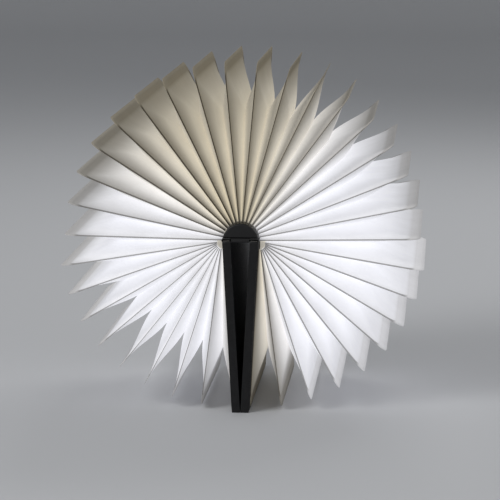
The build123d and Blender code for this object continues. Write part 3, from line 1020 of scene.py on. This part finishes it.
def root_strip(side):
    """A quarter-round paper strip along a hinge line, as wide as the place the roots leave."""
    half = LEAF_LENGTH / 2 - STRIP_SHORT
    ring = [(0.0, 0.0)]
    for n in range(STRIP_STEPS + 1):
        share = n / STRIP_STEPS
        turn = math.radians(STRIP_START + share * STRIP_SWEEP)
        radius = STRIP_RADIUS + STRIP_GROWTH * share
        ring.append((radius * math.sin(turn), radius * math.cos(turn)))
    points = []
    for y in (-half, half):
        for x, z in ring:
            points.append(((side * (PIVOT_X + x)) * MM, y * MM, (FAN_Z + z) * MM))
    count = len(ring)
    faces = [tuple(range(count)), tuple(range(2 * count - 1, count - 1, -1))]
    for n in range(count):
        after = (n + 1) % count
        faces.append((n, n + count, after + count, after))
    mesh = bpy.data.meshes.new("root strip")
    mesh.from_pydata(points, [], faces)
    bm = bmesh.new()
    bm.from_mesh(mesh)
    bmesh.ops.recalc_face_normals(bm, faces=bm.faces)
    bm.to_mesh(mesh)
    bm.free()
    for label, value in STRIP_VALUES.items():
        values = [value] * len(points)
        mesh.attributes.new(label, "FLOAT", "POINT").data.foreach_set("value", values)
    mesh.materials.append(paper)
    return mesh


for cover, side in COVERS.items():
    strip = add_piece("paper_root_strip_" + cover, root_strip(side))
    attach(strip, cover + "_cover")
    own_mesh(strip)
    print(strip.name, len(strip.data.polygons), "faces")

# %% [markdown]
# ## LEDs
# Twelve small LEDs repeat along their board. They could be copied one by one, but Geometry Nodes
# set one moulded chip on each point of a line, and count, pitch and size stay inputs. Only a
# glimpse of them shows through the lens, so each chip is a plain box of glowing phosphor.

# %% A row of LEDs
LED_COUNT = 12
LED_PITCH = 8.8
LED_SIZE = (2.8, 3.5, 0.7)


def led_row():
    """Geometry Nodes: one LED package on each point of a line along the bar."""
    tree, given = new_tree(
        "row of LEDs",
        {
            "Count": "Int",
            "Start": "Vector",
            "Pitch": "Vector",
            "Size": "Vector",
            "Phosphor": "Material",
        },
    )
    line = add(
        tree,
        "GeometryNodeMeshLine",
        {"mode": "OFFSET"},
        {"Count": given["Count"], "Start Location": given["Start"], "Offset": given["Pitch"]},
    ).outputs["Mesh"]
    chip = add(
        tree,
        "GeometryNodeMeshCube",
        inputs={"Size": given["Size"], "Vertices X": 3, "Vertices Y": 3, "Vertices Z": 2},
    ).outputs["Mesh"]
    rows = add(
        tree, "GeometryNodeInstanceOnPoints", inputs={"Points": line, "Instance": chip}
    ).outputs["Instances"]
    real = add(tree, "GeometryNodeRealizeInstances", inputs={"Geometry": rows})
    dressed = add(
        tree,
        "GeometryNodeSetMaterial",
        inputs={"Geometry": real.outputs["Geometry"], "Material": given["Phosphor"]},
    ).outputs["Geometry"]
    add(tree, "NodeGroupOutput", inputs={"Geometry": dressed})
    return tree


led_low, led_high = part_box("leds")
led_size = tuple(size * MM for size in LED_SIZE)
led_mesh = grown(
    bpy.data.meshes.new("no points"),
    led_row(),
    {
        "Count": LED_COUNT,
        "Start": (0.0, led_low[1] + led_size[1] / 2, (led_low[2] + led_high[2]) / 2),
        "Pitch": (0.0, LED_PITCH * MM, 0.0),
        "Size": led_size,
        "Phosphor": phosphor,
    },
    smooth=False,
)
leds = add_piece("led_chips", led_mesh)
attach(leds, "spine")
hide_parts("leds")
print("LEDs", LED_COUNT, "with", len(led_mesh.vertices), "points")

# %% [markdown]
# ## Covers
# A hardcover is a board wrapped in leatherette. The wrap folds over the board's edges and turns
# in over the inside, so no edge is sharp. A new box with rounded edges would lose the turned-in
# rim, so each cover starts as a copy of the frame's wrap. Its doubled corners are merged, and a
# bevel of about a third of a millimetre rounds the edges. The broad faces stay flat shaded:
# smoothed, they would carry the bevel's shading over the whole cover.

# %% Cover wraps with soft edges
EDGE_ROUND = 0.35
EDGE_SEGMENTS = 3
EDGE_ANGLE = 30  # only folds sharper than this are rounded
MERGE = 0.000005  # in metres
SMOOTHED_UNDER = 30  # in square millimetres: the bevel's narrow strips


def softened(node_name, piece_name):
    """A copy of a frame piece with its edges rounded."""
    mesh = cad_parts[node_name].data.copy()
    bm = bmesh.new()
    bm.from_mesh(mesh)
    bmesh.ops.remove_doubles(bm, verts=bm.verts, dist=MERGE)
    bmesh.ops.dissolve_limit(bm, angle_limit=math.radians(1.0), verts=bm.verts, edges=bm.edges)
    bm.to_mesh(mesh)
    bm.free()
    piece = add_piece(piece_name, mesh)
    bevel = piece.modifiers.new("soft edge", "BEVEL")
    bevel.width = EDGE_ROUND * MM
    bevel.segments = EDGE_SEGMENTS
    bevel.limit_method = "ANGLE"
    bevel.angle_limit = math.radians(EDGE_ANGLE)
    bevel.harden_normals = True
    depsgraph = bpy.context.evaluated_depsgraph_get()
    finished = bpy.data.meshes.new_from_object(piece.evaluated_get(depsgraph))
    piece.modifiers.clear()
    piece.data = finished
    for polygon in finished.polygons:
        polygon.use_smooth = polygon.area < SMOOTHED_UNDER * MM**2
    return piece


for cover in COVERS:
    wrap = softened(cover + "_cover_wrap", cover + "_leatherette")
    wrap.data.materials.clear()
    wrap.data.materials.append(leatherette)
    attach(wrap, cover + "_cover")
    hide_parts(cover + "_cover_wrap")
    print(wrap.name, len(wrap.data.polygons), "faces")

# %% [markdown]
# ## Cloth hinges
# One book cloth runs from the spine over each hinge line to its cover. A flat strip would crease
# at the line, so its path goes straight at first and then round a soft bend, and a Solidify
# modifier gives it its thickness. It stays in the shape it is built in.

# %% Hinge cloth
CLOTH_START = 5.2  # from the middle, where the cloth leaves the spine
CLOTH_BEND = 1.5  # the bend takes this much on each side of the hinge line
CLOTH_BEHIND = 0.1  # and ends this far behind the lining's face
CLOTH_THICKNESS = 0.3
STRAIGHT_STEPS, BEND_STEPS, LENGTH_STEPS = 5, 9, 40

for cover, side in COVERS.items():
    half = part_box(cover + "_hinge_cloth")[1][1]
    down, inward = cover_ways(side)
    pivot = Vector((side * PIVOT_X, 0, PIVOT_Z))
    first = Vector((side * CLOTH_START, 0, PIVOT_Z))
    start = pivot + Vector((-side * CLOTH_BEND, 0, 0))
    end = pivot + inward * (LINING_INSET + CLOTH_BEHIND) + down * CLOTH_BEND
    path = [first.lerp(start, n / STRAIGHT_STEPS) for n in range(STRAIGHT_STEPS + 1)]
    for n in range(1, BEND_STEPS + 1):
        share = n / BEND_STEPS
        path.append(start.lerp(pivot, share).lerp(pivot.lerp(end, share), share))
    points, faces = [], []
    for place in path:
        for n in range(LENGTH_STEPS + 1):
            points.append((place.x * MM, half * (2 * n / LENGTH_STEPS - 1), place.z * MM))
    for a in range(len(path) - 1):
        for b in range(LENGTH_STEPS):
            corner = a * (LENGTH_STEPS + 1) + b
            across = corner + LENGTH_STEPS + 1
            faces.append((corner, corner + 1, across + 1, across))
    mesh = bpy.data.meshes.new(cover + " cloth")
    mesh.from_pydata(points, [], faces)
    mesh.materials.append(cloth)
    piece = add_piece(cover + "_book_cloth", mesh)
    solid = piece.modifiers.new("cloth thickness", "SOLIDIFY")
    solid.thickness = CLOTH_THICKNESS * MM
    solid.offset = 0.0
    depsgraph = bpy.context.evaluated_depsgraph_get()
    piece.data = bpy.data.meshes.new_from_object(piece.evaluated_get(depsgraph))
    piece.modifiers.clear()
    for polygon in piece.data.polygons:
        polygon.use_smooth = True
    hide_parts(cover + "_hinge_cloth")
    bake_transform(piece)
    width = sum((b - a).length for a, b in zip(path, path[1:]))
    print(piece.name, "%.1f mm wide" % width)

# %% [markdown]
# ## Floor
# The studio is one sheet of pale grey paper that curves up behind the lamp, so that no line
# crosses the picture. Its wall stands far back, and the lamp can be looked at from every side.
# It is stage and no part of the lamp.

# %% Floor and backdrop
SHEET_HALF = 8.0  # all in metres
WALL_START, WALL_CURVE, WALL_TOP = 2.6, 0.8, 4.0
CURVE_STEPS = 12

studio_paper, tree = new_material("pale grey studio paper")
# a matt pale grey shows the lamp's shadow and gives no reflection
surface(tree, {"Base Color": linear("#B9BABC"), "Roughness": 0.9})
profile = [(-SHEET_HALF, 0.0), (WALL_START, 0.0)]
for n in range(1, CURVE_STEPS + 1):
    turn = math.pi / 2 * n / CURVE_STEPS
    profile.append(
        (WALL_START + WALL_CURVE * math.sin(turn), WALL_CURVE - WALL_CURVE * math.cos(turn))
    )
profile.append((WALL_START + WALL_CURVE, WALL_TOP))
points = [(x, y, z) for y, z in profile for x in (-SHEET_HALF, SHEET_HALF)]
faces = [(2 * n, 2 * n + 1, 2 * n + 3, 2 * n + 2) for n in range(len(profile) - 1)]
mesh = bpy.data.meshes.new("studio sweep")
mesh.from_pydata(points, [], faces)
mesh.materials.append(studio_paper)
for polygon in mesh.polygons:
    polygon.use_smooth = True
floor = add_piece("studio_sweep", mesh)
print(floor.name, len(faces), "faces")

# %% [markdown]
# ## Light
# One large soft key from the left, a weak fill from the right, a back light that draws the top
# edges, and a gentle world. They are kept at a plain level, at which a colour renders about as it
# is written, and the paper's own glow does the rest. Large areas give soft shadows.

# %% Lights
CENTRE = (0.0, 0.0, 0.095)
LAMPS = {
    # place, width and height in metres, and watts
    "key": ((-0.95, -0.85, 0.85), (0.7, 0.7), 11.0),
    "fill": ((0.95, -0.7, 0.45), (0.8, 0.6), 1.8),
    "back light": ((0.3, 0.85, 0.9), (0.8, 0.4), 4.0),
}
for name, (place, size, watts) in LAMPS.items():
    light = bpy.data.lights.new(name, "AREA")
    light.shape = "RECTANGLE"
    light.size, light.size_y = size
    light.energy = watts
    lamp = bpy.data.objects.new(name, light)
    lamp.location = place
    aim = Vector(CENTRE) - Vector(place)
    lamp.rotation_euler = aim.to_track_quat("-Z", "Y").to_euler()
    bpy.context.scene.collection.objects.link(lamp)
    print(name, watts, "W")
world = bpy.data.worlds.new("soft studio")
bpy.context.scene.world = world
world.use_nodes = True
world.node_tree.nodes["Background"].inputs["Color"].default_value = linear("#E9EBEE")
world.node_tree.nodes["Background"].inputs["Strength"].default_value = 0.45

# %% [markdown]
# ## Camera
# The camera looks at the lamp from the front and slightly above, through a long lens, as the
# photograph does. It is placed by one point that is easy to find in the picture, the middle of
# the bar's front end, and by how far that point lies from the picture's middle.

# %% Camera at the photograph's angle
AZIMUTH = math.radians(4.7)
ELEVATION = math.radians(9.4)
DISTANCE = 1.305
LENS, SENSOR = 176.0, 36.0
PICTURE = 500  # pixels across
BAR_END = Vector((0.0, -0.061, BAR_Z * MM))
LEFT_PIXELS, UP_PIXELS = 10, 8  # from the picture's middle to the bar's end

towards = Vector(
    (
        math.sin(AZIMUTH) * math.cos(ELEVATION),
        -math.cos(AZIMUTH) * math.cos(ELEVATION),
        math.sin(ELEVATION),
    )
)
camera_data = bpy.data.cameras.new("camera")
camera_data.lens = LENS
camera_data.sensor_width = SENSOR
camera = bpy.data.objects.new("camera", camera_data)
bpy.context.scene.collection.objects.link(camera)
camera.rotation_mode = "QUATERNION"
camera.rotation_quaternion = (-towards).to_track_quat("-Z", "Y")
right = camera.rotation_quaternion @ Vector((1, 0, 0))
upward = camera.rotation_quaternion @ Vector((0, 1, 0))
pixel = DISTANCE * SENSOR / LENS / PICTURE
aside = right * (LEFT_PIXELS * pixel) - upward * (UP_PIXELS * pixel)
camera.location = BAR_END + towards * DISTANCE + aside
bpy.context.scene.camera = camera
bpy.context.scene.view_settings.view_transform = "Standard"
print("camera at", [round(value, 3) for value in camera.location])
